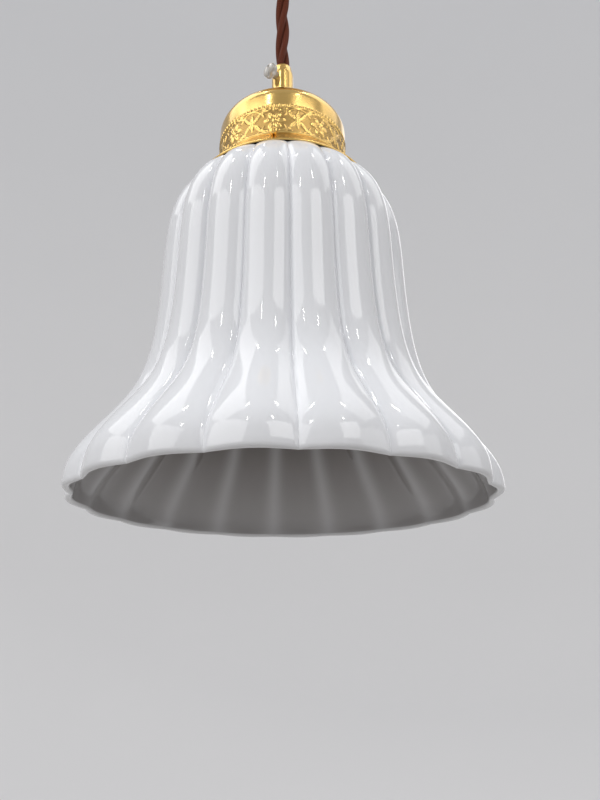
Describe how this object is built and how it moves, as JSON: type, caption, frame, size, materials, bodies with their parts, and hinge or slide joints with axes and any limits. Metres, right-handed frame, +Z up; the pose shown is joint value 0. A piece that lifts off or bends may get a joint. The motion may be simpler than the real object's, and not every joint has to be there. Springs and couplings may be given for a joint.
{
  "type": "pendant lamp",
  "caption": "Pendant lamp: a fluted opal glass bell shade in a brass gallery, hung by a twisted fabric flex from a small brass ceiling rose.",
  "frame": {"origin": "on the lamp's axis in the ceiling plane, at the middle of the ceiling plate's upper face", "axes": "+Z up into the ceiling, the lamp hangs along -Z, a groove of the bell faces -Y, the rose's side screws lie on X"},
  "size_m": [0.185, 0.1828, 0.355],
  "materials": {
    "polished_brass": "pressed, embossed and polished",
    "plain_brass": "turned, not polished",
    "zinc_steel": "bright zinc",
    "bronze": "thin rolled bronze",
    "porcelain": "white glaze",
    "white_nylon": "moulded",
    "clear_nylon": "milky, see-through",
    "opal_glass": "glossy opal white, lets light through but not sight",
    "clear_glass": "thin and clear",
    "nickel_cap": "nickel plated",
    "dark_glass": "black vitrified glass",
    "solder": "dull",
    "tungsten": "dull wire",
    "flex_braid": "braided rayon over two twisted cores"
  },
  "bodies": {
    "ceiling_rose": {"ceiling_bracket": "zinc_steel", "rose_cover": "polished_brass", "rose_screws": "polished_brass", "outlet_bush": "white_nylon", "terminal_block": "white_nylon", "terminal_tubes": "plain_brass", "terminal_screws": "zinc_steel"},
    "knot": {"flex_knot": "flex_braid"},
    "flex": {"flex_cord": "flex_braid"},
    "lamp": {"cord_grip": "polished_brass", "nipple": "plain_brass", "lock_washer": "plain_brass", "locknut": "plain_brass", "gallery": "polished_brass", "shade": "opal_glass", "holder_cap": "plain_brass", "holder_skirt": "plain_brass", "holder_body": "porcelain", "screw_shell": "bronze", "centre_contact": "bronze", "holder_terminals": "plain_brass", "holder_terminal_screws": "zinc_steel"},
    "bulb": {"bulb_glass": "clear_glass", "bulb_cap": "nickel_cap", "bulb_insulator": "dark_glass", "bulb_contact": "solder", "bulb_stem": "clear_glass", "bulb_filament": "tungsten"},
    "grip_side_screw": {"grip_screw": "clear_nylon"},
    "shade_screw_1": {"gallery_screw_1": "polished_brass"},
    "shade_screw_2": {"gallery_screw_2": "polished_brass"},
    "shade_screw_3": {"gallery_screw_3": "polished_brass"}
  },
  "joints": [
    {"name": "swing_front_back", "type": "hinge", "parent": "ceiling_rose", "child": "knot", "pos_m": [0, 0, -0.03], "axis": [1, 0, 0], "range_deg": [-15, 15]},
    {"name": "swing_side", "type": "hinge", "parent": "knot", "child": "flex", "pos_m": [0, 0, -0.03], "axis": [0, 1, 0], "range_deg": [-15, 15]},
    {"name": "flex_twist", "type": "hinge", "parent": "flex", "child": "lamp", "pos_m": [0, 0, -0.1142], "axis": [0, 0, 1], "range_deg": [-120, 120]},
    {"name": "bulb_out", "type": "slide", "parent": "lamp", "child": "bulb", "axis": [0, 0, -1], "range_m": [0, 0.028]},
    {"name": "grip_screw_out", "type": "slide", "parent": "lamp", "child": "grip_side_screw", "axis": [-0.7071, -0.7071, 0], "range_m": [0, 0.006]},
    {"name": "shade_screw_1_out", "type": "slide", "parent": "lamp", "child": "shade_screw_1", "axis": [-0.1736, -0.9848, 0], "range_m": [0, 0.004]},
    {"name": "shade_screw_2_out", "type": "slide", "parent": "lamp", "child": "shade_screw_2", "axis": [0.9397, 0.342, 0], "range_m": [0, 0.004]},
    {"name": "shade_screw_3_out", "type": "slide", "parent": "lamp", "child": "shade_screw_3", "axis": [-0.766, 0.6428, 0], "range_m": [0, 0.004]}
  ]
}
